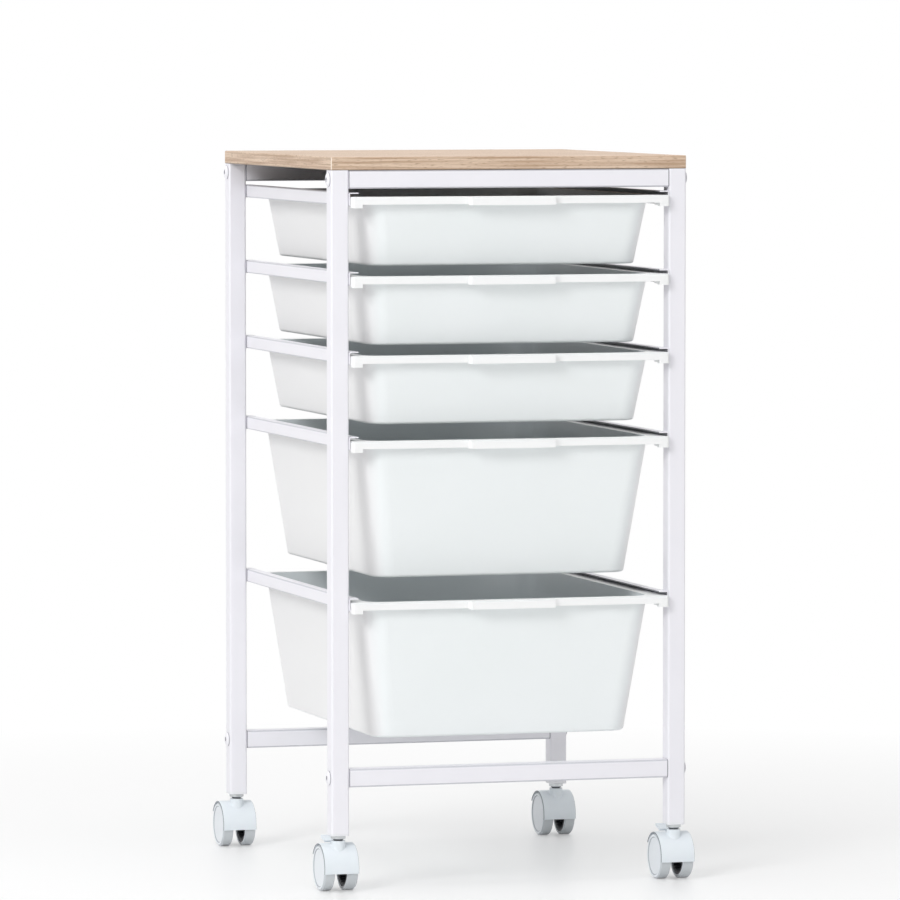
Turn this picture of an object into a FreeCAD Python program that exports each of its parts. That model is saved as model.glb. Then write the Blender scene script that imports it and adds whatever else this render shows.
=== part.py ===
import FreeCAD, Part
import math
import os

os.makedirs("parts", exist_ok=True)

# Rolling cart with five pull-out bins in a square-tube frame, on four twin-wheel casters.
# Millimetres. +Z is up, the bins pull out towards -Y, and the origin is on the floor,
# in the middle of the space that the cart takes up.

# Frame: square steel tube
frame_width = 337.0         # outside of the posts, left to right
frame_depth = 378.0         # front of the front posts to back of the rear posts
tube_side = 16.7
tube_wall = 1.2
tube_corner = 2.0           # outside corner radius
foot_to_rail = 41.6         # foot of a post to the underside of the lower rails

# Top board
board_thickness = 12.0
board_round = 1.0

# Runners: channels folded from sheet and welded to the inner faces of the posts
runner_sheet = 1.0
runner_flange = 9.0         # web included
runner_bend = 0.5           # inside radius of a fold
runner_to_rail = 3.5        # top of the highest runner to the top rails

# Bins
shallow_depth = 62.9        # top of the rim to the underside of the floor
deep_depth = 126.0
shallow_side_lean = 0.14    # how far a wall leans in, for each millimetre down
shallow_end_lean = 0.24     # front and rear walls
deep_side_lean = 0.12
deep_end_lean = 0.19
bin_wall = 1.8
bin_corner = 19.0           # outside radius of the upright corners
bin_foot_round = 3.0        # outside radius where the walls turn into the floor
shallow_gap = 8.85          # underside of a shallow bin to the rim of the next shallow one
middle_gap = 14.1           # underside of the last shallow bin to the first deep rim
deep_gap = 20.1             # underside of a deep bin to the rim of the next
rail_gap = 25.2             # underside of the lowest bin to the top of the lower rails

# Rim of a bin: a flange with a turned-down lip that hangs in the runners
rim_height = 6.9
rim_flange = 2.0
rim_lip = 1.8
rim_round = 0.9             # along the upper outside edge
rim_rest = 0.3              # lip to the runner flange under it
rim_headroom = 2.8          # rim to the runner flange over it
rim_side_gap = 0.4          # lip to the web of the runner
rim_front_reach = 7.0       # rim in front of the posts
rim_rear_setback = 6.0      # rim short of the back of the frame
front_overhang = 6.0        # front wall to the front of the rim
shallow_rear_overhang = 11.0
deep_rear_overhang = 7.0
front_corner = 2.5
rear_corner = 8.0
gusset_thickness = 1.4
gusset_height = 3.6
side_gussets = 4

# Pull: the middle of the front rim, drawn out and a little deeper
pull_width = 82.0           # at its root
pull_reach = 6.0
pull_slant = 1.5            # each end leans in by this
pull_drop = 1.0             # lip of the pull below the lip of the rim

# Stops at the front corners of a bin, and the ribs that guide it between the runners
stop_height = 10.1
stop_gap = 0.3              # to the front ends of the runners
guide_rib = 1.5
guide_gap = 0.4             # to the runner flanges
guide_length = 9.0
guide_to_wall = 4.8

# Bolts through the posts into plugs in the rail ends
bolt_diameter = 6.0
bolt_head = 13.0
bolt_head_height = 2.4
bolt_socket = 4.0           # across the flats
bolt_socket_depth = 1.5
bolt_hole_gap = 0.2
plug_length = 18.0
plug_fit = 0.1
plug_corner = 1.0
thread_fit = 0.02

# Screws from inside the top rails up into the board
screw_diameter = 4.0
screw_head = 8.0
screw_head_height = 2.2
screw_bite = 9.0
screw_span = 200.0
screw_hole_gap = 0.2
screw_access = 9.6          # hole in the lower wall of the rail, for the driver
screw_cross = 4.4           # cross recess, from end to end
screw_cross_width = 1.0
screw_cross_depth = 1.2

# Caster sockets: plastic plugs in the feet of the posts
socket_flange = 2.3
socket_length = 24.0
socket_round = 0.6

# Caster stems: threaded stud, turned collar and swivel pin in one piece
stud_diameter = 8.0
stud_length = 20.0
collar_diameter = 13.6
collar_height = 3.0
collar_bevel = 0.4
neck_diameter = 9.4
neck_height = 1.0
neck_gap = 0.8              # neck to the top of the swivel boss
pin_diameter = 7.9
pin_length = 17.0
swivel_fit = 0.05

# Caster wheels
wheel_diameter = 41.5
wheel_width = 10.0
wheel_gap = 12.0            # between the two wheels
wheel_edge = 1.2
tyre_thickness = 3.0
disc_thickness = 2.0
disc_ring = 2.2             # raised ring round the face of the disc
disc_groove = 0.6
wheel_hub = 9.0
axle_diameter = 5.0
axle_grip = 7.0             # how far the axle goes into a wheel
axle_fit = 0.05
axle_end_gap = 0.3
hub_gap = 0.3               # hub to the web of the hood
core_fit = 0.05
core_plate = 1.3
core_setback = 0.6          # toothed ring behind the inner edge of the tyre
tooth_count = 24
tooth_root = 1.8            # ring behind the teeth
tooth_height = 1.8

# Caster hoods
caster_trail = 9.0          # stem to axle
hood_wall = 1.05
hood_gap = 0.6              # to the tyre
hood_side = 0.2             # hood past the outer faces of the wheels
hood_edge_round = 0.6
hood_skirt = 3.75           # front edge of the hood below the axle
hood_rear_angle = 30.0      # rear edge of the hood above the axle, in degrees
web_gap = 0.5               # web of the hood to the wheels
web_heel = 4.0              # web behind the axle
boss_diameter = 12.7
boss_rise = 3.05            # boss above the crown of the hood
boss_root = 16.0            # foot of the boss below the crown
boss_blend = 1.2            # radius where the boss meets the hood
bore_end_gap = 0.5

# Brake levers on the two front casters
lever_thickness = 2.0
lever_arm = 3.4
lever_tongue = 5.0          # width of the part in the slot
lever_slot_gap = 0.3
lever_width = 20.0          # at the tip of the tread
lever_waist = 16.0          # at its root
lever_tread = 6.9
lever_slope = 37.4          # slope of the tread, in degrees
lever_rise = 1.8            # root of the tread above the hood
lever_root_angle = 71.8     # about the axle, from straight back
lever_lip = 2.8
pivot_depth = 6.9           # brake pin below the outside of the hood
pivot_angle = 62.0
brake_pin_diameter = 2.5
brake_pin_fit = 0.03
lever_eye = 5.6
brake_bar_diameter = 2.4
brake_bar_reach = 3.5       # bar past the inner faces of the wheels
brake_bar_gap = 5.0         # middle of the bar to the teeth, brake off
brake_bar_angle = 96.2
brake_press = 18.0          # travel of the lever, in degrees
brake_window_gap = 0.4

# Sizes that follow from those above
Vector = FreeCAD.Vector
up = Vector(0, 0, 1)
across = Vector(1, 0, 0)
tube_inside = tube_side - 2 * tube_wall
post_inner_face = frame_width / 2 - tube_side
wheel_radius = wheel_diameter / 2
hood_radius = wheel_radius + hood_gap + hood_wall
boss_top = wheel_radius + hood_radius + boss_rise
stem_top = boss_top + neck_gap + neck_height + collar_height
post_foot = stem_top + socket_flange

pull_front = rim_front_reach + pull_reach
hood_reach = hood_radius * math.cos(math.radians(hood_rear_angle))
rear_reach = caster_trail + max(wheel_radius, hood_reach) - tube_side / 2
total_depth = pull_front + frame_depth + rear_reach
post_front = pull_front - total_depth / 2
post_back = post_front + frame_depth

lower_rail = post_foot + foot_to_rail
runner_height = 2 * runner_sheet + rim_rest + rim_height + rim_headroom
rim_above_runner_foot = runner_sheet + rim_rest + rim_height
deep_form = (deep_side_lean, deep_end_lean, deep_rear_overhang)
shallow_form = (shallow_side_lean, shallow_end_lean, shallow_rear_overhang)
bin_plan = [
    ("drawer_5_bin", deep_depth, deep_form, rail_gap),
    ("drawer_4_bin", deep_depth, deep_form, deep_gap),
    ("drawer_3_bin", shallow_depth, shallow_form, middle_gap),
    ("drawer_2_bin", shallow_depth, shallow_form, shallow_gap),
    ("drawer_1_bin", shallow_depth, shallow_form, shallow_gap),
]
rim_tops = {}
height = lower_rail + tube_side
for bin_name, depth, form, gap in bin_plan:
    height = height + gap + depth
    rim_tops[bin_name] = height
top_runner = height - rim_above_runner_foot + runner_height
top_rail = top_runner + runner_to_rail
post_top = top_rail + tube_side

runner_lip = post_inner_face - runner_flange
rim_half_width = post_inner_face - runner_sheet - rim_side_gap
guide_outside = runner_lip - guide_gap
bin_half_width = guide_outside - guide_rib - guide_to_wall
rim_front = post_front - rim_front_reach
rim_back = post_back - rim_rear_setback

corners = {
    "front_left": (-1, post_front + tube_side / 2),
    "rear_left": (-1, post_back - tube_side / 2),
    "front_right": (1, post_front + tube_side / 2),
    "rear_right": (1, post_back - tube_side / 2),
}
post_axis = frame_width / 2 - tube_side / 2


def save(name, *solids):
    """Write one piece, or a set of like pieces, under its own name."""
    shape = solids[0] if len(solids) == 1 else Part.makeCompound(list(solids))
    shape.exportStep("parts/" + name + ".step")


def block(x_low, x_high, y_low, y_high, z_low, z_high):
    """A box between two corners."""
    corner = Vector(x_low, y_low, z_low)
    return Part.makeBox(x_high - x_low, y_high - y_low, z_high - z_low, corner)


def level(z):
    """Puts plan points at one height."""
    return lambda a, b: Vector(a, b, z)


def upright(x):
    """Puts side-view points, back and up, at one place across the cart."""
    return lambda a, b: Vector(x, a, b)


def outline(points, place):
    """A closed wire through (a, b, radius) points, with round corners where a radius is given."""
    ends = []
    count = len(points)
    for index, (a, b, radius) in enumerate(points):
        here = Vector(a, b, 0)
        before = Vector(points[index - 1][0], points[index - 1][1], 0)
        after = Vector(points[(index + 1) % count][0], points[(index + 1) % count][1], 0)
        back = (before - here).normalize()
        onward = (after - here).normalize()
        half_angle = back.getAngle(onward) / 2
        reach = radius / math.tan(half_angle)
        inward = (back + onward).normalize() * (radius / math.sin(half_angle) - radius)
        ends.append((here + back * reach, here + inward, here + onward * reach, radius))
    edges = []
    for index, (start, middle, finish, radius) in enumerate(ends):
        if radius > 0:
            edges.append(Part.Arc(*[place(p.x, p.y) for p in (start, middle, finish)]).toShape())
        following = ends[(index + 1) % count][0]
        if (following - finish).Length > 1e-6:
            edges.append(Part.makeLine(place(finish.x, finish.y), place(following.x, following.y)))
    return Part.Wire(edges)


def prism(wire, direction):
    """A solid swept straight from a flat outline."""
    return Part.Face(wire).extrude(direction)


def rectangle(x_half, y_low, y_high, front_radius, rear_radius):
    """Plan points of a rectangle about the middle plane of the cart."""
    return [
        (-x_half, y_low, front_radius),
        (x_half, y_low, front_radius),
        (x_half, y_high, rear_radius),
        (-x_half, y_high, rear_radius),
    ]


def square(side, radius):
    """Points of a square about its own middle."""
    return rectangle(side / 2, -side / 2, side / 2, radius, radius)


def turned(points, origin, axis):
    """A turned solid from (along, radius) points, closed on the axis where they touch it."""
    side = across if abs(axis.x) < 0.5 else up
    corner_points = [origin + axis * along + side * radius for along, radius in points]
    face = Part.Face(Part.makePolygon(corner_points + corner_points[:1]))
    return face.revolve(origin, axis, 360)


def square_tube(length):
    """A square tube along +Z, standing on the origin."""
    inside_corner = max(tube_corner - tube_wall, tube_wall / 2)
    outside = prism(outline(square(tube_side, tube_corner), level(0)), up * length)
    inside = prism(outline(square(tube_inside, inside_corner), level(0)), up * length)
    return outside.cut(inside)


def make_board():
    """Melamine board, flush with the frame, with its pilot holes."""
    board = block(-frame_width / 2, frame_width / 2, post_front, post_back,
                  post_top, post_top + board_thickness)
    board = board.makeFillet(board_round, board.Edges)
    holes = []
    for x, y in screw_places():
        holes.append(Part.makeCylinder(screw_diameter / 2 + thread_fit, screw_bite + screw_hole_gap,
                                       Vector(x, y, post_top), up))
    return board.cut(Part.makeCompound(holes))


def screw_places():
    """Where the board screws stand, in plan."""
    rows = (post_front + tube_side / 2, post_back - tube_side / 2)
    return [(x, y) for y in rows for x in (-screw_span / 2, screw_span / 2)]


def rail_heights():
    """Middles of the lower and the top rails."""
    return (lower_rail + tube_side / 2, top_rail + tube_side / 2)


def make_post(side, y):
    """A post with the cross holes for its two bolts."""
    post = square_tube(post_top - post_foot)
    post.translate(Vector(side * post_axis, y, post_foot))
    for z in rail_heights():
        hole = Part.makeCylinder(bolt_diameter / 2 + bolt_hole_gap, tube_side,
                                 Vector(side * post_axis - tube_side / 2, y, z), across)
        post = post.cut(hole)
    return post


def make_rail(y, z, with_screws):
    """A rail between the inner faces of two posts."""
    rail = square_tube(2 * post_inner_face)
    rail.rotate(Vector(0, 0, 0), Vector(0, 1, 0), 90)
    rail.translate(Vector(-post_inner_face, y, z + tube_side / 2))
    if with_screws:
        for x in (-screw_span / 2, screw_span / 2):
            hole = Part.makeCylinder(screw_diameter / 2 + screw_hole_gap, tube_side, Vector(x, y, z), up)
            access = Part.makeCylinder(screw_access / 2, tube_side / 2, Vector(x, y, z), up)
            rail = rail.cut(hole.fuse(access))
    return rail


def make_bolt(side, y, z):
    """Domed bolt with a hex socket, through the post along X."""
    radius = bolt_head / 2
    rim = bolt_head_height / 3
    outward = across * side
    seat = Vector(side * frame_width / 2, y, z)
    dome = [
        (0, 0), (0, radius), (rim, radius), (0.75 * bolt_head_height, 0.8 * radius),
        (bolt_head_height, 0.5 * radius), (bolt_head_height, 0),
    ]
    head = turned(dome, seat, outward)
    corner = bolt_socket / math.sqrt(3)
    corner_points = []
    for index in range(7):
        angle = math.radians(60 * index)
        corner_points.append(seat + outward * (bolt_head_height - bolt_socket_depth)
                             + Vector(0, corner * math.cos(angle), corner * math.sin(angle)))
    socket = Part.Face(Part.makePolygon(corner_points)).extrude(outward * bolt_socket_depth)
    shank = Part.makeCylinder(bolt_diameter / 2, tube_side + plug_length, seat, outward * -1)
    return head.cut(socket).fuse(shank).removeSplitter()


def make_plug(side, y, z):
    """Threaded plug in the end of a rail."""
    face = outline(square(tube_inside - 2 * plug_fit, plug_corner), level(0))
    plug = prism(face, up * plug_length)
    plug = plug.cut(Part.makeCylinder(bolt_diameter / 2 + thread_fit, plug_length))
    plug.rotate(Vector(0, 0, 0), Vector(0, 1, 0), -90 * side)
    plug.translate(Vector(side * post_inner_face, y, z))
    return plug


def make_screw(x, y):
    """Pan-head screw with a cross recess, under the upper wall of a top rail."""
    seat = post_top - tube_wall
    shank_length = tube_wall + screw_bite
    profile = [
        (-screw_head_height, 0), (-screw_head_height, 0.35 * screw_head),
        (-0.5 * screw_head_height, screw_head / 2), (0, screw_head / 2),
        (0, screw_diameter / 2), (shank_length, screw_diameter / 2), (shank_length, 0),
    ]
    screw = turned(profile, Vector(x, y, seat), up)
    long_half = screw_cross / 2
    short_half = screw_cross_width / 2
    cross_foot = seat - screw_head_height
    for x_half, y_half in ((long_half, short_half), (short_half, long_half)):
        screw = screw.cut(block(x - x_half, x + x_half, y - y_half, y + y_half,
                                cross_foot, cross_foot + screw_cross_depth))
    return screw


def make_runner(side, foot):
    """Channel along the frame, open towards the bins."""
    outer_bend = runner_bend + runner_sheet
    web = post_inner_face
    profile = [
        (runner_lip, foot, 0),
        (web, foot, outer_bend),
        (web, foot + runner_height, outer_bend),
        (runner_lip, foot + runner_height, 0),
        (runner_lip, foot + runner_height - runner_sheet, 0),
        (web - runner_sheet, foot + runner_height - runner_sheet, runner_bend),
        (web - runner_sheet, foot + runner_sheet, runner_bend),
        (runner_lip, foot + runner_sheet, 0),
    ]
    wire = outline(profile, lambda a, b: Vector(side * a, post_front, b))
    return prism(wire, Vector(0, frame_depth, 0))


def tapered_tub(rim_top, depth, form, inset, floor_round):
    """Solid tub that narrows downwards, with its floor edge rounded."""
    side_lean, end_lean, rear_overhang = form
    side_shift = side_lean * depth
    end_shift = end_lean * depth
    radius = bin_corner - inset
    front = rim_front + front_overhang + inset
    back = rim_back - rear_overhang - inset
    half = bin_half_width - inset
    mouth = outline(rectangle(half, front, back, radius, radius), level(rim_top))
    floor = outline(rectangle(half - side_shift, front + end_shift, back - end_shift, radius, radius),
                    level(rim_top - depth))
    tub = Part.makeLoft([floor, mouth], True, True)
    floor_edges = [edge for edge in tub.Edges if edge.BoundBox.ZMax < rim_top - depth + 0.01]
    return tub.makeFillet(floor_round, floor_edges)


def pull_outline(inset, tuck):
    """Plan points of the pull, from its root in the front rim to its front face."""
    slope = math.hypot(pull_slant, pull_reach)
    end_shift = inset * slope / pull_reach
    root = pull_width / 2 - end_shift
    lean = pull_slant / pull_reach
    tip_y = rim_front - pull_reach + inset
    tip = root - lean * (rim_front - tip_y)
    return [
        (-root - lean * tuck, rim_front + tuck, 0),
        (-tip, tip_y, 0),
        (tip, tip_y, 0),
        (root + lean * tuck, rim_front + tuck, 0),
    ]


def make_rim(rim_top):
    """Rim with its lip, pull, gussets, corner stops and guide ribs."""
    lip_foot = rim_top - rim_height
    plan = rectangle(rim_half_width, rim_front, rim_back, front_corner, rear_corner)
    rim = prism(outline(plan, level(lip_foot)), up * rim_height)
    pull_foot = lip_foot - pull_drop
    pull = prism(outline(pull_outline(0, rim_lip), level(pull_foot)), up * (rim_height + pull_drop))
    rim = rim.fuse(pull).removeSplitter()
    upper_edges = [edge for edge in rim.Edges if edge.BoundBox.ZMin > rim_top - 0.01]
    rim = rim.makeFillet(rim_round, upper_edges)

    flange_foot = rim_top - rim_flange
    hollow_plan = rectangle(rim_half_width - rim_lip, rim_front + rim_lip, rim_back - rim_lip,
                            front_corner - rim_lip, rear_corner - rim_lip)
    hollow = prism(outline(hollow_plan, level(pull_foot)), up * (flange_foot - pull_foot))
    grip = prism(outline(pull_outline(rim_lip, 2 * rim_lip), level(pull_foot)),
                 up * (flange_foot - pull_foot))
    rim = rim.cut(hollow).cut(grip)
    return rim.multiFuse(rim_gussets(flange_foot) + rim_stops(rim_top))


def rim_gussets(flange_foot):
    """Small plates under the flange, from the wall to the side lips."""
    tuck = bin_wall / 2
    span = rim_back - rim_front
    plates = []
    for index in range(side_gussets):
        y = rim_front + span * (index + 1) / (side_gussets + 1)
        for side in (-1, 1):
            near = side * (bin_half_width - tuck)
            far = side * (rim_half_width - rim_lip / 2)
            plates.append(block(min(near, far), max(near, far),
                                y - gusset_thickness / 2, y + gusset_thickness / 2,
                                flange_foot - gusset_height, flange_foot))
    return plates


def rim_stops(rim_top):
    """Corner blocks that meet the runners, each with its guide rib."""
    solids = []
    inside = guide_outside - guide_rib
    for side in (-1, 1):
        near = side * inside
        far = side * rim_half_width
        rib_far = side * guide_outside
        stop_back = post_front - stop_gap
        stop = block(min(near, far), max(near, far), rim_front, stop_back,
                     rim_top - stop_height, rim_top - rim_flange)
        front_edge = [edge for edge in stop.Edges
                      if abs(edge.BoundBox.XMax - edge.BoundBox.XMin) < 0.01
                      and edge.BoundBox.YMax < rim_front + 0.01
                      and abs(edge.BoundBox.XMin - far) < 0.01]
        solids.append(stop.makeFillet(front_corner, front_edge))
        solids.append(block(min(near, rib_far), max(near, rib_far),
                            stop_back, post_front + guide_length,
                            rim_top - stop_height + pull_drop, rim_top - rim_flange))
    return solids


def make_bin(rim_top, depth, form):
    """One bin: tub and rim moulded together."""
    outside = tapered_tub(rim_top, depth, form, 0, bin_foot_round)
    inside = tapered_tub(rim_top, depth - bin_wall, form, bin_wall, bin_foot_round - bin_wall)
    return make_rim(rim_top).fuse(outside).cut(inside).removeSplitter()


def make_socket(x, y):
    """Plastic plug in the foot of a post, with the flange that shows."""
    flange = prism(outline(square(tube_side, tube_corner), level(stem_top)), up * socket_flange)
    lower_edges = [edge for edge in flange.Edges if edge.BoundBox.ZMax < stem_top + 0.01]
    flange = flange.makeFillet(socket_round, lower_edges)
    body = prism(outline(square(tube_inside - 2 * plug_fit, plug_corner), level(post_foot)), up * socket_length)
    bore = Part.makeCylinder(stud_diameter / 2 + thread_fit, socket_flange + socket_length,
                             Vector(0, 0, stem_top))
    socket = flange.fuse(body).cut(bore)
    socket.translate(Vector(x, y, 0))
    return socket


def make_stem(x, y):
    """Stud, collar, neck and swivel pin, turned in one piece."""
    neck_top = stem_top - collar_height
    neck_foot = neck_top - neck_height
    profile = [
        (boss_top - pin_length, 0),
        (boss_top - pin_length, pin_diameter / 2),
        (neck_foot, pin_diameter / 2),
        (neck_foot, neck_diameter / 2),
        (neck_top, neck_diameter / 2),
        (neck_top, collar_diameter / 2 - collar_bevel),
        (neck_top + collar_bevel, collar_diameter / 2),
        (stem_top, collar_diameter / 2),
        (stem_top, stud_diameter / 2),
        (stem_top + stud_length, stud_diameter / 2),
        (stem_top + stud_length, 0),
    ]
    return turned(profile, Vector(x, y, 0), up)


def polar(radius, degrees):
    """A point about the axle of a caster, in (back from the stem, up)."""
    angle = math.radians(degrees)
    return (caster_trail + radius * math.cos(angle), wheel_radius + radius * math.sin(angle))


def make_hood(braked):
    """Hood with its web, swivel boss and bores, about a stem at the origin."""
    half = wheel_gap / 2 + wheel_width + hood_side
    front_angle = 180 + math.degrees(math.asin(hood_skirt / hood_radius))
    ends = (polar(hood_radius, front_angle), polar(hood_radius, hood_rear_angle))
    crown = polar(hood_radius, (front_angle + hood_rear_angle) / 2)
    heel = (caster_trail + web_heel, wheel_radius - hood_skirt)
    place = upright(-half)
    arc = Part.Arc(place(*ends[0]), place(*crown), place(*ends[1])).toShape()
    lines = Part.makePolygon([place(*ends[1]), place(*heel), place(*ends[0])])
    hood = prism(Part.Wire([arc] + lines.Edges), across * (2 * half))
    rim_edges = [edge for edge in hood.Edges if edge.BoundBox.XMax - edge.BoundBox.XMin < 0.01
                 and edge.Length > hood_radius * 2]
    hood = hood.makeFillet(hood_edge_round, rim_edges)

    crown_height = wheel_radius + hood_radius
    boss_foot = crown_height - boss_root
    hood = hood.fuse(Part.makeCylinder(boss_diameter / 2, boss_top - boss_foot, Vector(0, 0, boss_foot)))
    seam = [edge for edge in hood.Edges if on_boss_seam(edge)]
    hood = hood.makeFillet(boss_blend, seam)

    axle = Vector(0, caster_trail, wheel_radius)
    web = wheel_gap / 2 - web_gap
    for side in (-1, 1):
        hood = hood.cut(Part.makeCylinder(hood_radius - hood_wall, half, axle + across * (side * web),
                                          across * side))
    hood = hood.cut(Part.makeCylinder(axle_diameter / 2 + thread_fit, 2 * half, axle - across * half,
                                      across))
    bore_length = pin_length + bore_end_gap
    hood = hood.cut(Part.makeCylinder(pin_diameter / 2 + swivel_fit, bore_length,
                                      Vector(0, 0, boss_top - bore_length)))
    if braked:
        hood = hood.cut(brake_openings())
    return hood


def on_boss_seam(edge):
    """True for the curve where the boss comes out of the hood."""
    middle = edge.valueAt((edge.FirstParameter + edge.LastParameter) / 2)
    from_stem = math.hypot(middle.x, middle.y)
    from_axle = math.hypot(middle.y - caster_trail, middle.z - wheel_radius)
    return abs(from_stem - boss_diameter / 2) < 0.01 and abs(from_axle - hood_radius) < 0.01


def brake_points():
    """Pivot, bar and root of a lever, in (back from the stem, up)."""
    teeth = wheel_radius - tyre_thickness - core_fit - tooth_root - tooth_height
    pivot = polar(hood_radius - pivot_depth, pivot_angle)
    bar = polar(teeth - brake_bar_gap, brake_bar_angle)
    root = polar(hood_radius + lever_rise, lever_root_angle)
    return pivot, bar, root


def pressed(point, pivot):
    """Where a point of the lever goes when the brake is pressed."""
    angle = math.radians(brake_press)
    back = point[0] - pivot[0]
    rise = point[1] - pivot[1]
    return (pivot[0] + back * math.cos(angle) + rise * math.sin(angle),
            pivot[1] - back * math.sin(angle) + rise * math.cos(angle))


def brake_openings():
    """Slot for the lever, windows for its bar and the hole for its pin."""
    pivot, bar, root = brake_points()
    root_pressed = pressed(root, pivot)
    bar_pressed = pressed(bar, pivot)
    slot_half = lever_tongue / 2 + lever_slot_gap
    bar_room = max(brake_bar_diameter, lever_arm) / 2 + brake_window_gap
    front = min(bar[0], bar_pressed[0]) - bar_room
    slot = block(-slot_half, slot_half, front, root_pressed[0] + lever_arm,
                 bar[1] - bar_room, wheel_radius + hood_radius)
    web = wheel_gap / 2
    window_room = brake_bar_diameter / 2 + brake_window_gap
    window = block(-web, web, min(bar[0], bar_pressed[0]) - window_room,
                   max(bar[0], bar_pressed[0]) + window_room,
                   bar[1] - window_room, bar_pressed[1] + window_room)
    pin_hole = Part.makeCylinder(brake_pin_diameter / 2 + thread_fit, 2 * web,
                                 Vector(-web, *pivot), across)
    return slot.fuse(window).fuse(pin_hole)


def arm_between(start, finish, width):
    """A flat arm from one point to another, in the slot of the hood."""
    along = Vector(0, finish[0] - start[0], finish[1] - start[1])
    beside = across.cross(along).normalize() * (width / 2)
    low = Vector(-lever_tongue / 2, *start)
    high = Vector(-lever_tongue / 2, *finish)
    corner_points = [low + beside, high + beside, high - beside, low - beside, low + beside]
    return Part.Face(Part.makePolygon(corner_points)).extrude(across * lever_tongue)


def make_lever():
    """Brake lever: tread with its lip, arm, eye and the bar that locks the wheels."""
    pivot, bar, root = brake_points()
    slope = math.radians(lever_slope)
    along = Vector(0, math.cos(slope), math.sin(slope))
    normal = Vector(0, -math.sin(slope), math.cos(slope))
    base = Vector(0, *root) - normal * (lever_thickness / 2)
    tip = base + along * lever_tread
    tread_points = [
        base - across * (lever_waist / 2), base + across * (lever_waist / 2),
        tip + across * (lever_width / 2), tip - across * (lever_width / 2),
    ]
    tread = Part.Face(Part.makePolygon(tread_points + tread_points[:1])).extrude(normal * lever_thickness)
    lip_middle = tip + normal * (lever_thickness / 2) - across * (lever_width / 2)
    lip = Part.makeCylinder(lever_lip / 2, lever_width, lip_middle, across)
    eye = Part.makeCylinder(lever_eye / 2, lever_tongue, Vector(-lever_tongue / 2, *pivot), across)
    bar_half = wheel_gap / 2 + brake_bar_reach
    cross_bar = Part.makeCylinder(brake_bar_diameter / 2, 2 * bar_half, Vector(-bar_half, *bar), across)
    bar_end = Part.makeCylinder(lever_arm / 2, lever_tongue, Vector(-lever_tongue / 2, *bar), across)
    lever = tread.multiFuse([lip, eye, cross_bar, bar_end, arm_between(pivot, root, lever_arm),
                             arm_between(bar, pivot, lever_arm)])
    lever = lever.removeSplitter()
    return lever.cut(Part.makeCylinder(brake_pin_diameter / 2 + brake_pin_fit, lever_tongue,
                                       Vector(-lever_tongue / 2, *pivot), across))


def make_brake_pin():
    """Pin that the lever turns on, through the web of the hood."""
    pivot = brake_points()[0]
    half = wheel_gap / 2 - web_gap
    return Part.makeCylinder(brake_pin_diameter / 2, 2 * half, Vector(-half, *pivot), across)


def make_axle():
    """Steel axle through the web and both wheels."""
    half = wheel_gap / 2 + axle_grip
    return Part.makeCylinder(axle_diameter / 2, 2 * half, Vector(-half, caster_trail, wheel_radius), across)


def wheel_start(side):
    """Middle of the inner face of a wheel, and the way out from it."""
    return Vector(side * wheel_gap / 2, caster_trail, wheel_radius), across * side


def make_wheel_shell(side):
    """Tyre, disc and hub in one cup, with a blind bore for the axle."""
    tyre_inside = wheel_radius - tyre_thickness
    ring_inside = wheel_radius - wheel_edge - disc_ring
    disc_inside = wheel_width - disc_thickness - disc_groove
    hub_start = hub_gap - web_gap
    bore = axle_diameter / 2 + axle_fit
    bore_end = axle_grip + axle_end_gap
    profile = [
        (wheel_width - disc_groove / 2, 0),
        (wheel_width - disc_groove / 2, wheel_hub / 2),
        (wheel_width - disc_groove, ring_inside - disc_groove),
        (wheel_width - disc_groove, ring_inside),
        (wheel_width, ring_inside + disc_groove / 2),
        (wheel_width, wheel_radius - wheel_edge),
        (wheel_width - wheel_edge, wheel_radius),
        (wheel_edge / 2, wheel_radius),
        (0, wheel_radius - wheel_edge / 2),
        (0, tyre_inside),
        (disc_inside, tyre_inside),
        (disc_inside, wheel_hub / 2),
        (hub_start, wheel_hub / 2),
        (hub_start, bore),
        (bore_end, bore),
        (bore_end, 0),
    ]
    return turned(profile, *wheel_start(side))


def make_wheel_core(side):
    """Black insert: back plate and the toothed ring that the brake locks."""
    outside = wheel_radius - tyre_thickness - core_fit
    root = outside - tooth_root
    tip = root - tooth_height
    back = wheel_width - disc_thickness - disc_groove - core_fit
    plate = back - core_plate
    start, outward = wheel_start(side)
    profile = [
        (core_setback, tip), (core_setback, outside), (back, outside),
        (back, wheel_hub / 2 + core_fit), (plate, wheel_hub / 2 + core_fit), (plate, tip),
    ]
    core = turned(profile, start, outward)
    groove_width = math.pi * tip / tooth_count
    grooves = []
    for index in range(tooth_count):
        groove = block(min(side * core_setback, side * plate), max(side * core_setback, side * plate),
                       -groove_width / 2, groove_width / 2, 0, root)
        groove.rotate(Vector(0, 0, 0), across, 360 * index / tooth_count)
        groove.translate(start)
        grooves.append(groove)
    return core.cut(grooves[0].multiFuse(grooves[1:]))


def moved(shape, x, y):
    """A caster piece put under its corner of the frame."""
    shape.translate(Vector(x, y, 0))
    return shape


save("top_board", make_board())

for corner_name, (side, y) in corners.items():
    save(corner_name + "_post", make_post(side, y))

rails = {
    "front_lower_rail": (corners["front_left"][1], lower_rail, False),
    "rear_lower_rail": (corners["rear_left"][1], lower_rail, False),
    "front_top_rail": (corners["front_left"][1], top_rail, True),
    "rear_top_rail": (corners["rear_left"][1], top_rail, True),
}
for rail_name, (y, z, with_screws) in rails.items():
    save(rail_name, make_rail(y, z, with_screws))

bolt_places = [(side, y, z) for side, y in corners.values() for z in rail_heights()]
save("connector_bolts", *[make_bolt(*place) for place in bolt_places])
save("rail_nuts", *[make_plug(*place) for place in bolt_places])
save("board_screws", *[make_screw(*place) for place in screw_places()])

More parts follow.
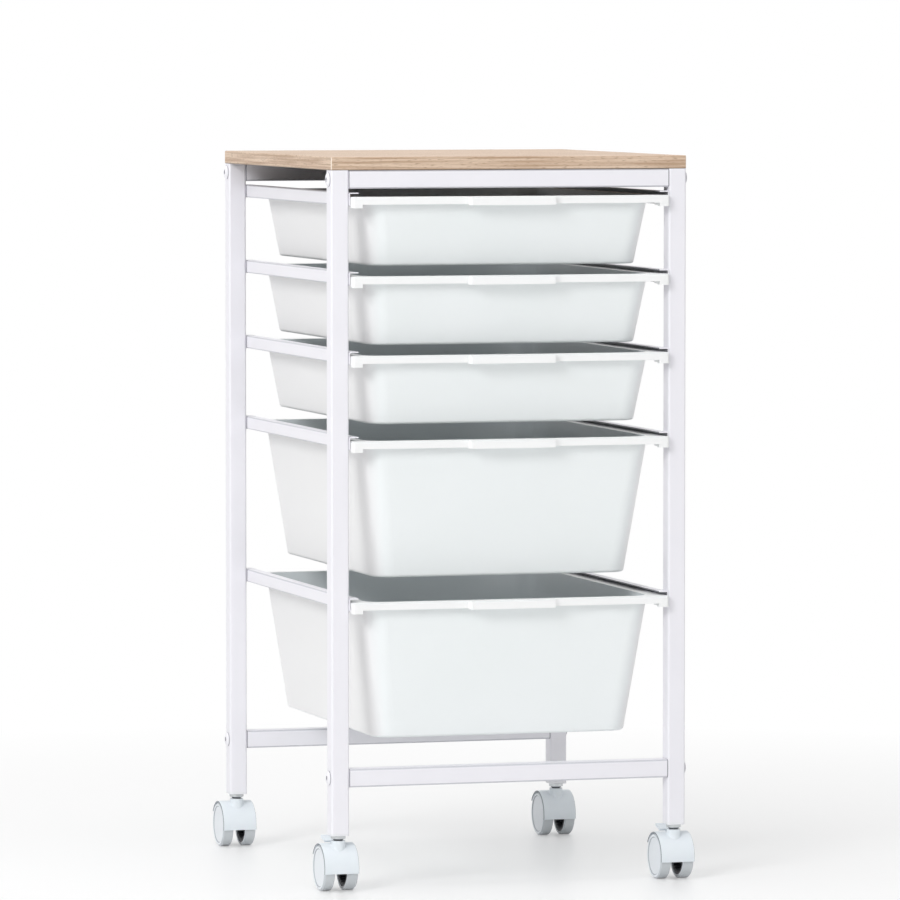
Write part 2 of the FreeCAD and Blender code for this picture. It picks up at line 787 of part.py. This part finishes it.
for bin_name, depth, form, gap in bin_plan:
    number = bin_name.split("_")[1]
    foot = rim_tops[bin_name] - rim_above_runner_foot
    save("left_runner_" + number, make_runner(-1, foot))
    save("right_runner_" + number, make_runner(1, foot))
    save(bin_name, make_bin(rim_tops[bin_name], depth, form))

save("caster_sockets", *[make_socket(side * post_axis, y) for side, y in corners.values()])
for corner_name, (side, y) in corners.items():
    x = side * post_axis
    braked = corner_name.startswith("front")
    save(corner_name + "_stem", make_stem(x, y))
    save(corner_name + "_hood", moved(make_hood(braked), x, y))
    save(corner_name + "_axle", moved(make_axle(), x, y))
    for wheel_name, wheel_side in (("outer", side), ("inner", -side)):
        wheel = corner_name + "_" + wheel_name + "_wheel"
        save(wheel + "_shell", moved(make_wheel_shell(wheel_side), x, y))
        save(wheel + "_core", moved(make_wheel_core(wheel_side), x, y))
    if braked:
        save(corner_name + "_brake_lever", moved(make_lever(), x, y))
        save(corner_name + "_brake_pin", moved(make_brake_pin(), x, y))

print("post foot", round(post_foot, 2), "post top", round(post_top, 2), "height",
      round(post_top + board_thickness, 2), "depth", round(total_depth, 2))
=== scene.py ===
import math

import bmesh
import bpy
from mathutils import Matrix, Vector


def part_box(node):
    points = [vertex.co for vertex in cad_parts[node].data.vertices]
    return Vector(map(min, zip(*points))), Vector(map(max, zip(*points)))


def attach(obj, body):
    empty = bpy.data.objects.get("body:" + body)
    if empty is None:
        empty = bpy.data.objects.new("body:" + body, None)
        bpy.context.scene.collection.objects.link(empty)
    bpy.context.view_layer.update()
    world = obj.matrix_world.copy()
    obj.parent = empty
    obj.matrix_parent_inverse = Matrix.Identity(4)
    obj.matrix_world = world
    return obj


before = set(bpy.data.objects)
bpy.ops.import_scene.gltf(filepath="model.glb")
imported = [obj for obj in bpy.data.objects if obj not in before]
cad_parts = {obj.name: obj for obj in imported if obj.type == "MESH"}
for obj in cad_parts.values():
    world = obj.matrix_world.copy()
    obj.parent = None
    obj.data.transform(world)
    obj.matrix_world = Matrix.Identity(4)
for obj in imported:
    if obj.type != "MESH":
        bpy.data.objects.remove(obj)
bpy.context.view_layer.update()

# Posts and rails: square steel tube, bolted together at the corners. White powder is baked on, which
# leaves a satin skin with a faint orange peel.
mm = 0.001


def linear(hex_colour):
    """Turns an sRGB hex colour into the linear values that a socket takes."""
    shares = [int(hex_colour[start:start + 2], 16) / 255 for start in (0, 2, 4)]
    light = [share / 12.92 if share <= 0.04045 else ((share + 0.055) / 1.055) ** 2.4 for share in shares]
    return (*light, 1.0)


def new_finish(name):
    """An empty node material and its tree."""
    finish = bpy.data.materials.new(name)
    finish.use_nodes = True
    finish.node_tree.nodes.clear()
    return finish, finish.node_tree


def add_node(tree, kind, inputs, **settings):
    """Adds one node, with its settings, and sets or links its inputs."""
    made = tree.nodes.new(kind)
    for name, value in settings.items():
        setattr(made, name, value)
    for socket, value in inputs.items():
        if isinstance(value, bpy.types.NodeSocket):
            tree.links.new(value, made.inputs[socket])
        else:
            made.inputs[socket].default_value = value
    return made


def surface_point(tree, kind):
    """The place of each point of a surface ("Object") or the way it faces ("Normal")."""
    return add_node(tree, "ShaderNodeTexCoord", {}).outputs[kind]


def split(tree, vector):
    """The X, Y and Z parts of a vector."""
    return add_node(tree, "ShaderNodeSeparateXYZ", {"Vector": vector}).outputs


def calculate(tree, operation, *values):
    """The result of an operation on sockets and numbers."""
    return add_node(tree, "ShaderNodeMath", dict(enumerate(values)), operation=operation).outputs[0]


def ramp(tree, value, start, end, low=0, high=1):
    """Goes from low to high while a value goes from start to end, and stays level outside."""
    made = add_node(tree, "ShaderNodeMapRange", {
        "Value": value, "From Min": start, "From Max": end, "To Min": low, "To Max": high})
    return made.outputs["Result"]


def noise(tree, place, size, detail=2, distortion=0):
    """Cloudy values about 0.5, with clouds of a size."""
    made = add_node(tree, "ShaderNodeTexNoise", {
        "Vector": place, "Scale": 1 / size, "Detail": detail, "Distortion": distortion})
    return made.outputs["Fac"]


def mix(tree, share, first, second):
    """The colour that lies a share of the way between two others, which are hex colours or sockets."""
    ends = [linear(colour) if isinstance(colour, str) else colour for colour in (first, second)]
    made = add_node(tree, "ShaderNodeMix", {0: share, 6: ends[0], 7: ends[1]}, data_type="RGBA")
    return made.outputs[2]


def bump(tree, height, strength, depth, invert=False):
    """The way a surface faces when a height between 0 and 1 makes it rise by a depth, at some strength."""
    made = add_node(tree, "ShaderNodeBump", {"Height": height, "Strength": strength, "Distance": depth},
                    invert=invert)
    return made.outputs["Normal"]


def cover(tree, tone, gloss, skin, more):
    """Ends a tree with a surface of one tone, gloss and skin, and what more it needs."""
    surface = add_node(tree, "ShaderNodeBsdfPrincipled", {
        "Base Color": tone, "Roughness": gloss, "Normal": skin, **more})
    add_node(tree, "ShaderNodeOutputMaterial", {"Surface": surface.outputs["BSDF"]})


def dress(names, finish):
    """Gives CAD nodes a finish."""
    for name in names:
        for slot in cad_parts[name].material_slots:
            slot.material = finish


def powder_finish(name, axis=None, middle=0, joint=0, width=0, inner_shade=False):
    """White powder coat. On a bar that runs along an axis between two joints, the corners are painted greyer
    as painted shade, and a painted shadow line of some width lies on the inner side of each joint. Such a
    bar may also have painted shade on the faces that look at the middle of the cart."""
    finish, tree = new_finish(name)
    place = surface_point(tree, "Object")
    cloud = noise(tree, place, 60 * mm)
    tone = mix(tree, cloud, "EDECF2", "F2F1F6")
    if axis:
        # The parts of a unit normal add up to 1 on a flat face and to more on a corner.
        facing = surface_point(tree, "Normal")
        sizes = add_node(tree, "ShaderNodeVectorMath", {0: facing}, operation="ABSOLUTE")
        spread = add_node(tree, "ShaderNodeVectorMath", {0: sizes.outputs["Vector"], 1: (1, 1, 1)},
                          operation="DOT_PRODUCT")
        # Corners are painted greyer: painted shade on the rounded edges.
        corner_shade = ramp(tree, spread.outputs["Value"], 1.15, 1.35)
        tone = mix(tree, corner_shade, tone, "CCCCD3")
        parts = split(tree, place)
        away = calculate(tree, "ABSOLUTE", calculate(tree, "SUBTRACT", parts[axis], middle))
        # A painted shadow line darkens each joint where the bar butts on a post.
        joint_shadow = calculate(tree, "COMPARE", away, joint - width / 2, width / 2)
        tone = mix(tree, joint_shadow, tone, "7D7D85")
        if inner_shade:
            # A face that looks inwards has its X part and its place on opposite sides, some 150 mm out.
            outward = calculate(tree, "MULTIPLY", parts["X"], split(tree, facing)["X"])
            inward = calculate(tree, "LESS_THAN", outward, -100 * mm)
            # Faces that look inwards are painted darker: painted shade inside the channels.
            tone = mix(tree, inward, tone, "8C8C92")
    # Orange peel is about 1.5 mm across; it is drawn at 2 mm so that it shows.
    peel = noise(tree, place, 2 * mm, detail=1)
    gloss = ramp(tree, cloud, 0, 1, 0.36, 0.46)
    cover(tree, tone, gloss, bump(tree, peel, 0.35, 0.04 * mm), {"IOR": 1.5})
    return finish


powder_coat = powder_finish("white_powder_coat")
corners = ("front_left", "rear_left", "front_right", "rear_right")
dress([corner + "_post" for corner in corners], powder_coat)

# On the rails the corners carry painted shade, and a painted shadow line marks each joint where they butt on
# the posts.
rail_coat = powder_finish("white_powder_coat_rails", "X", 0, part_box("front_top_rail")[1][0], 0.6 * mm)
dress(["front_lower_rail", "rear_lower_rail", "front_top_rail", "rear_top_rail"], rail_coat)

# Runners: channels folded from 1 mm sheet, with the same powder over steel and welds, and painted shade on
# the faces inside the channels. Each end is held to its post by two short weld beads, along the upper and
# the lower fold.
runner_names = [side + "_runner_" + str(number) for side in ("left", "right") for number in range(1, 6)]
inner_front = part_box("front_left_post")[1][1]
inner_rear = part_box("rear_left_post")[0][1]
runner_coat = powder_finish("white_powder_coat_runners", "Y", (inner_front + inner_rear) / 2,
                            (inner_rear - inner_front) / 2, 2.2 * mm, inner_shade=True)
dress(runner_names, runner_coat)


def spin(shape, points, centre, axis, steps):
    """Turns a chain of points all the way round an axis, as a new part of a bmesh."""
    chain = [shape.verts.new(place) for place in points]
    line = [shape.edges.new(pair) for pair in zip(chain, chain[1:])]
    bmesh.ops.spin(shape, geom=chain + line, cent=centre, axis=axis, angle=2 * math.pi, steps=steps,
                   use_merge=True)


def finished_piece(name, shape, finish, body):
    """Makes a smooth-shaded object from a bmesh of spun chains, with its finish, body and slot."""
    bmesh.ops.remove_doubles(shape, verts=shape.verts, dist=0.01 * mm)
    bmesh.ops.recalc_face_normals(shape, faces=shape.faces)
    mesh = bpy.data.meshes.new(name)
    shape.to_mesh(mesh)
    shape.free()
    mesh.polygons.foreach_set("use_smooth", [True] * len(mesh.polygons))
    mesh.materials.append(finish)
    piece = bpy.data.objects.new(name, mesh)
    bpy.context.scene.collection.objects.link(piece)
    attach(piece, body)


bead_length = 12 * mm
bead_crest = 0.9 * mm       # radius of a bead on its ripples
bead_dip = 0.72             # share of that radius that is left between them
bead_depth = 0.3 * mm       # axis of a bead inside the outer face of the web
fold_inset = 0.35 * mm      # axis of a bead inside the upper or lower face of the runner
bead_ripples = 8
bead_sides = 10
last_step = 2 * bead_ripples
welds = bmesh.new()
for name in runner_names:
    low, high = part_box(name)
    side_name = name.split("_")[0]
    bead_x = low[0] + bead_depth if side_name == "left" else high[0] - bead_depth
    for end in ("front", "rear"):
        post_low, post_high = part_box(end + "_" + side_name + "_post")
        middle = (post_low[1] + post_high[1]) / 2
        for height in (low[2] + fold_inset, high[2] - fold_inset):
            points = []
            for step in range(last_step + 1):
                swell = bead_crest * (bead_dip if step % 2 == 0 else 1)
                reach = 0 if step in (0, last_step) else swell
                points.append((bead_x + reach, middle + bead_length * (step / last_step - 0.5), height))
            spin(welds, points, (bead_x, middle, height), (0, 1, 0), bead_sides)
finished_piece("runner_welds", welds, powder_coat, "frame")

# Connector bolts: domed steel heads with a hex socket, painted like the frame. The plugs that they
# pull on sit inside the rail ends, and the caster sockets in the post feet are the same white nylon.
bolt_paint, tree = new_finish("bolt_head_paint")
# The rim of a head and its socket are painted grey: painted shade round the head.
facing_side = calculate(tree, "ABSOLUTE", split(tree, surface_point(tree, "Normal"))["X"])
unshaded_top = ramp(tree, facing_side, 0.3, 0.5)
tone = mix(tree, unshaded_top, "A8A8AE", "F2F1F6")
cloud = noise(tree, surface_point(tree, "Object"), 4 * mm)
gloss = ramp(tree, cloud, 0, 1, 0.34, 0.46)
cover(tree, tone, gloss, bump(tree, cloud, 0.3, 0.04 * mm), {"IOR": 1.5})
dress(["connector_bolts"], bolt_paint)

nylon_index = 1.53
white_nylon, tree = new_finish("moulded_white_nylon")
place = surface_point(tree, "Object")
flow = noise(tree, place, 12 * mm)
tone = mix(tree, flow, "E9E9EE", "F0F0F3")
gloss = ramp(tree, flow, 0, 1, 0.44, 0.54)
grain = bump(tree, noise(tree, place, 0.8 * mm), 0.3, 0.03 * mm)
cover(tree, tone, gloss, grain, {"IOR": nylon_index, "Subsurface Weight": 0.1,
                                 "Subsurface Radius": (1, 1, 1), "Subsurface Scale": 1 * mm})
dress(["rail_nuts", "caster_sockets"], white_nylon)

# Top board: particle board with an oak-print melamine face and a printed edge band on all four sides.
# The grain runs across the cart on the face, and along each edge on its band.
oak_melamine, tree = new_finish("oak_grain_melamine")
place = surface_point(tree, "Object")
parts = split(tree, place)
facing_parts = split(tree, surface_point(tree, "Normal"))
facing_side = calculate(tree, "ABSOLUTE", facing_parts["X"])
facing_front = calculate(tree, "ABSOLUTE", facing_parts["Y"])
on_side = calculate(tree, "GREATER_THAN", facing_side, 0.7)
turned = add_node(tree, "ShaderNodeCombineXYZ", {"X": parts["Y"], "Y": parts["X"], "Z": parts["Z"]})
along = add_node(tree, "ShaderNodeMix", {0: on_side, 4: place, 5: turned.outputs["Vector"]},
                 data_type="VECTOR").outputs[1]


def figure(tree, along, length, width, detail, distortion=0):
    """Noise that is drawn out along the grain, in marks of a length and a width."""
    space = add_node(tree, "ShaderNodeMapping", {
        "Vector": along, "Scale": (1 / length, 1 / width, 1 / width)})
    return noise(tree, space.outputs["Vector"], 1, detail, distortion)


# Growth bands are some 14 mm wide and very long, and the finer streaks 2 mm. Printed pores are dashes
# 0.3 mm wide; they are drawn at 0.6 mm so that they show.
bands = figure(tree, along, 320 * mm, 14 * mm, 3, 1.2)
streaks = figure(tree, along, 90 * mm, 2 * mm, 4)
pores = ramp(tree, figure(tree, along, 7 * mm, 0.6 * mm, 1), 0.58, 0.7, 0, 0.7)
ground = mix(tree, ramp(tree, bands, 0.32, 0.68), "BFA188", "AE9176")
streaked = mix(tree, ramp(tree, streaks, 0.38, 0.62), "DBC3AC", ground)
tone = mix(tree, pores, streaked, "967A5F")
# Two bands meet in a paler seam on each upright corner, and the underside and lower rounding are painted a
# darker brown as painted shade.
on_seam = ramp(tree, calculate(tree, "MULTIPLY", facing_side, facing_front), 0.2, 0.4)
tone = mix(tree, on_seam, tone, "EFE3D6")
underside_shade = ramp(tree, facing_parts["Z"], -0.2, -0.5)
tone = mix(tree, underside_shade, tone, "8F7C6A")
gloss = ramp(tree, streaks, 0, 1, 0.42, 0.56)
cover(tree, tone, gloss, bump(tree, pores, 0.4, 0.05 * mm, invert=True), {"IOR": 1.5})
dress(["top_board"], oak_melamine)

# Board screws and caster stems: zinc-plated steel, turned about an upright axis. The screws hold the
# board from inside the top rails, and the stems screw into the sockets in the post feet.


def turned_steel(name, axis, shaded_span=None):
    """Zinc-plated steel with the fine rings that a lathe leaves round the axis, painted dark between two
    heights as painted shade."""
    finish, tree = new_finish(name)
    place = surface_point(tree, "Object")
    # Feed rings are 0.1 mm apart; they are drawn at 0.5 mm so that they show.
    rings = add_node(tree, "ShaderNodeTexWave", {
        "Vector": place, "Scale": 1 / (20 * 0.5 * mm), "Distortion": 0.4}, bands_direction=axis)
    spangle = noise(tree, place, 3 * mm, detail=3)
    tone = mix(tree, spangle, "B9BDC0", "D3D5D6")
    if shaded_span:
        low, high = shaded_span
        in_shade = calculate(tree, "COMPARE", split(tree, place)["Z"], (low + high) / 2, (high - low) / 2)
        tone = mix(tree, in_shade, tone, "5A5C60")
    gloss = ramp(tree, spangle, 0, 1, 0.24, 0.38)
    cover(tree, tone, gloss, bump(tree, rings.outputs["Fac"], 0.2, 0.02 * mm), {"Metallic": 1})
    return finish


# Painted shade darkens the swivel bore and the neck of each stem, up to 1.7 mm above the hood.
swivel_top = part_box("front_left_hood")[1][2]
shade_heights = (swivel_top - 12 * mm, swivel_top + 1.7 * mm)
upright_steel = turned_steel("zinc_steel_turned_upright", "Z", shade_heights)
dress(["board_screws"] + [corner + "_stem" for corner in corners], upright_steel)

# Casters: hoods, brake levers and wheel shells moulded in pale grey nylon, with black toothed wheel
# cores and steel pins. The moulds leave a fine matt grain.
spark_size = 0.7 * mm       # spark-eroded grain is 0.3 mm across; it is drawn larger so that it shows
pale_nylon, tree = new_finish("moulded_pale_grey_nylon")
place = surface_point(tree, "Object")
flow = noise(tree, place, 18 * mm)
tone = mix(tree, flow, "E4EBF1", "EBF1F5")
# Painted shadow darkens the two end faces of each hood, next to the gaps round the wheels.
gap_shadow_width = 0.35 * mm
hood_low, hood_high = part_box("front_right_hood")
hood_middle = (hood_low[0] + hood_high[0]) / 2
hood_half = (hood_high[0] - hood_low[0]) / 2
away = calculate(tree, "ABSOLUTE", split(tree, place)["X"])
off_ends = calculate(tree, "COMPARE", away, hood_middle, hood_half - gap_shadow_width)
tone = mix(tree, off_ends, "868B91", tone)
gloss = ramp(tree, flow, 0, 1, 0.4, 0.5)
grain = bump(tree, noise(tree, place, spark_size), 0.3, 0.03 * mm)
cover(tree, tone, gloss, grain, {"IOR": nylon_index})

black_nylon, tree = new_finish("moulded_black_nylon")
place = surface_point(tree, "Object")
flow = noise(tree, place, 8 * mm)
tone = mix(tree, flow, "47484D", "56575C")
gloss = ramp(tree, flow, 0, 1, 0.45, 0.6)
grain = bump(tree, noise(tree, place, spark_size), 0.35, 0.03 * mm)
cover(tree, tone, gloss, grain, {"IOR": nylon_index})

# Wheel shells have the same pale disc, with a greyer tread moulded round it and a painted shade line on the
# edge between.
wheel_nylon, tree = new_finish("moulded_wheel_nylon")
place = surface_point(tree, "Object")
facing_side = calculate(tree, "ABSOLUTE", split(tree, surface_point(tree, "Normal"))["X"])
on_disc = ramp(tree, facing_side, 0.3, 0.5)
flow = noise(tree, place, 18 * mm)
disc_tone = mix(tree, flow, "E4E9EE", "EBEFF3")
tread_tone = mix(tree, flow, "C3C8CC", "CDD1D4")
tone = mix(tree, on_disc, tread_tone, disc_tone)
# The edge between disc and tread is painted darker: painted shade.
from_edge = calculate(tree, "ABSOLUTE", calculate(tree, "SUBTRACT", facing_side, 0.7))
tone = mix(tree, ramp(tree, from_edge, 0.2, 0.1), tone, "C6CBD0")
# A painted shade line darkens the groove that runs round each disc, at a fixed share of the way out from the
# axle. The front and the rear axles lie as far from the middle between them.
groove_share = 0.834
groove_half = 0.4 * mm
front_low, front_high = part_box("front_left_outer_wheel_shell")
rear_low, rear_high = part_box("rear_left_outer_wheel_shell")
front_axle = (front_low[1] + front_high[1]) / 2
rear_axle = (rear_low[1] + rear_high[1]) / 2
wheel_radius = (front_high[2] - front_low[2]) / 2
parts = split(tree, place)
offset = calculate(tree, "SUBTRACT", parts["Y"], (front_axle + rear_axle) / 2)
away = calculate(tree, "ABSOLUTE", offset)
across = calculate(tree, "SUBTRACT", away, (rear_axle - front_axle) / 2)
above = calculate(tree, "SUBTRACT", parts["Z"], front_low[2] + wheel_radius)
outwards = add_node(tree, "ShaderNodeCombineXYZ", {"X": across, "Y": above})
reach = add_node(tree, "ShaderNodeVectorMath", {0: outwards.outputs["Vector"]}, operation="LENGTH")
in_groove = calculate(tree, "COMPARE", reach.outputs["Value"], groove_share * wheel_radius, groove_half)
tone = mix(tree, calculate(tree, "MULTIPLY", in_groove, on_disc), tone, "A4A9AF")
gloss = ramp(tree, on_disc, 0, 1, 0.6, 0.4)
grain = bump(tree, noise(tree, place, spark_size), 0.3, 0.03 * mm)
cover(tree, tone, gloss, grain, {"IOR": nylon_index})

crosswise_steel = turned_steel("zinc_steel_turned_crosswise", "X")
for corner in corners:
    dress([corner + "_hood"], pale_nylon)
    dress([corner + "_outer_wheel_shell", corner + "_inner_wheel_shell"], wheel_nylon)
    dress([corner + "_outer_wheel_core", corner + "_inner_wheel_core"], black_nylon)
    dress([corner + "_axle"], crosswise_steel)
for corner in ("front_left", "front_right"):
    dress([corner + "_brake_lever"], pale_nylon)
    dress([corner + "_brake_pin"], crosswise_steel)

# Bins: each one moulding in milky polypropylene, with a soft satin skin. Light goes a little way into
# the thin walls, and the gate under the floor leaves a small nub in a sunk ring.
milky_plastic, tree = new_finish("moulded_milky_polypropylene")
place = surface_point(tree, "Object")
flow = noise(tree, place, 90 * mm)
end_tone = mix(tree, flow, "F1F6F6", "F5F9FA")
# Walls lean outwards, so the Z part of their facing is below -0.1 outside and between 0.06 and 0.38 inside.
# Rims don't lean: they are thicker and whiter. The side walls are painted less blue than the front and the
# rear wall as painted light from the side, and the inside walls are painted greyer as painted shade.
facing_parts = split(tree, surface_point(tree, "Normal"))
# Sideways faces are painted less blue: painted light.
on_side = ramp(tree, calculate(tree, "ABSOLUTE", facing_parts["X"]), 0.4, 0.9)
wall_tone = mix(tree, on_side, end_tone, "F3F3F3")
on_rim = ramp(tree, facing_parts["Z"], -0.1, -0.04)
outer_tone = mix(tree, on_rim, wall_tone, "F7F8F8")
# Walls that lean inwards inside the bin are painted greyer: painted shade.
on_inside = calculate(tree, "COMPARE", facing_parts["Z"], 0.22, 0.16)
tone = mix(tree, on_inside, outer_tone, "E5EAEC")
gloss = ramp(tree, flow, 0, 1, 0.36, 0.46)
# Spark-eroded grain is 0.4 mm across; it is drawn at 1 mm so that it shows.
grain = bump(tree, noise(tree, place, 1 * mm, detail=1), 0.25, 0.03 * mm)
cover(tree, tone, gloss, grain, {"IOR": 1.49, "Subsurface Weight": 0.15, "Subsurface Radius": (1, 1, 1),
                                 "Subsurface Scale": 1.5 * mm})

# The profile of a gate mark runs outwards: distances from its axis and heights above the underside, in mm.
gate_sides = 32
gate_profile = [(0, -0.7), (0.8, -0.7), (1.1, 0), (3.2, 0), (3.5, -0.35), (4.6, -0.35), (5, 0.3)]
for number in range(1, 6):
    drawer = "drawer_" + str(number)
    dress([drawer + "_bin"], milky_plastic)
    low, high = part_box(drawer + "_bin")
    centre = (0, (low[1] + high[1]) / 2, low[2])
    points = [(out * mm, centre[1], centre[2] + rise * mm) for out, rise in gate_profile]
    gate = bmesh.new()
    spin(gate, points, centre, (0, 0, 1), gate_sides)
    finished_piece(drawer + "_gate_mark", gate, milky_plastic, drawer)

# Stage: a pale floor that keeps the shadow, a white surround, a large soft lamp high on the left in front,
# a weak one on the right in front and a broad one overhead.
floor_half = 8
floor_shape = bmesh.new()
bmesh.ops.create_grid(floor_shape, x_segments=1, y_segments=1, size=floor_half)
floor_mesh = bpy.data.meshes.new("floor")
floor_shape.to_mesh(floor_mesh)
floor_shape.free()
floor = bpy.data.objects.new("floor", floor_mesh)
bpy.context.scene.collection.objects.link(floor)


def pictured(tree):
    """1 for what the picture shows, straight, mirrored or through something clear, and 0 for other light."""
    rays = add_node(tree, "ShaderNodeLightPath", {}).outputs
    seen = calculate(tree, "MAXIMUM", rays["Is Camera Ray"], rays["Is Glossy Ray"])
    return calculate(tree, "MAXIMUM", seen, rays["Is Transmission Ray"])


# The floor is mostly paint near the cart and turns to plain white between 0.3 and 1.3 m from its middle, so
# that there is no horizon.
pale_floor, tree = new_finish("pale_floor")
from_cart = add_node(tree, "ShaderNodeVectorMath", {0: surface_point(tree, "Object")}, operation="LENGTH")
far = ramp(tree, from_cart.outputs["Value"], 0.3, 1.3, 0.27, 1)
share = calculate(tree, "MULTIPLY", pictured(tree), far)
paint = add_node(tree, "ShaderNodeBsdfPrincipled", {"Base Color": linear("F8F8F8"), "Roughness": 0.36})
white = add_node(tree, "ShaderNodeEmission", {"Color": linear("FFFFFF"), "Strength": 1})
both = add_node(tree, "ShaderNodeMixShader", {0: share, 1: paint.outputs["BSDF"],
                                              2: white.outputs["Emission"]})
add_node(tree, "ShaderNodeOutputMaterial", {"Surface": both.outputs["Shader"]})
floor_mesh.materials.append(pale_floor)

# The surround is plain white in the picture and lights the cart at half that strength.
surround = bpy.data.worlds.new("white_surround")
surround.use_nodes = True
surround.node_tree.nodes.clear()
bpy.context.scene.world = surround
tree = surround.node_tree
soft = add_node(tree, "ShaderNodeBackground", {"Color": linear("FFFFFF"), "Strength": 0.5})
white = add_node(tree, "ShaderNodeBackground", {"Color": linear("FFFFFF"), "Strength": 1})
both = add_node(tree, "ShaderNodeMixShader", {0: pictured(tree), 1: soft.outputs["Background"],
                                              2: white.outputs["Background"]})
add_node(tree, "ShaderNodeOutputWorld", {"Surface": both.outputs["Shader"]})


def soft_lamp(name, place, aim, size, power):
    """A square area lamp that points at a place."""
    lamp = bpy.data.lights.new(name, "AREA")
    lamp.shape = "SQUARE"
    lamp.size = size
    lamp.energy = power
    lamp_object = bpy.data.objects.new(name, lamp)
    bpy.context.scene.collection.objects.link(lamp_object)
    lamp_object.location = place
    turn = [end - start for end, start in zip(aim, place)]
    reach = math.hypot(turn[0], turn[1])
    lamp_object.rotation_euler = (math.atan2(reach, -turn[2]), 0, math.atan2(-turn[0], turn[1]))


soft_lamp("key_lamp", (-3.35, -3.05, 2.6), (0, 0, 0.35), 1.6, 97)
soft_lamp("fill_lamp", (2.6, -2.4, 1.6), (0, 0, 0.35), 2.4, 6)
soft_lamp("top_lamp", (-0.4, -0.2, 2.8), (0, 0, 0.2), 2.2, 28)

lens = bpy.data.cameras.new("photo_view")
lens.sensor_width = 36
lens.lens = 273.009
lens.clip_end = 50
camera = bpy.data.objects.new("photo_view", lens)
bpy.context.scene.collection.objects.link(camera)
camera.location = (-1.81541, -6.11394, 0.76836)
camera.rotation_euler = (math.radians(86.5825), 0, math.radians(-16.5423))
bpy.context.scene.camera = camera
bpy.context.scene.view_settings.view_transform = "Standard"
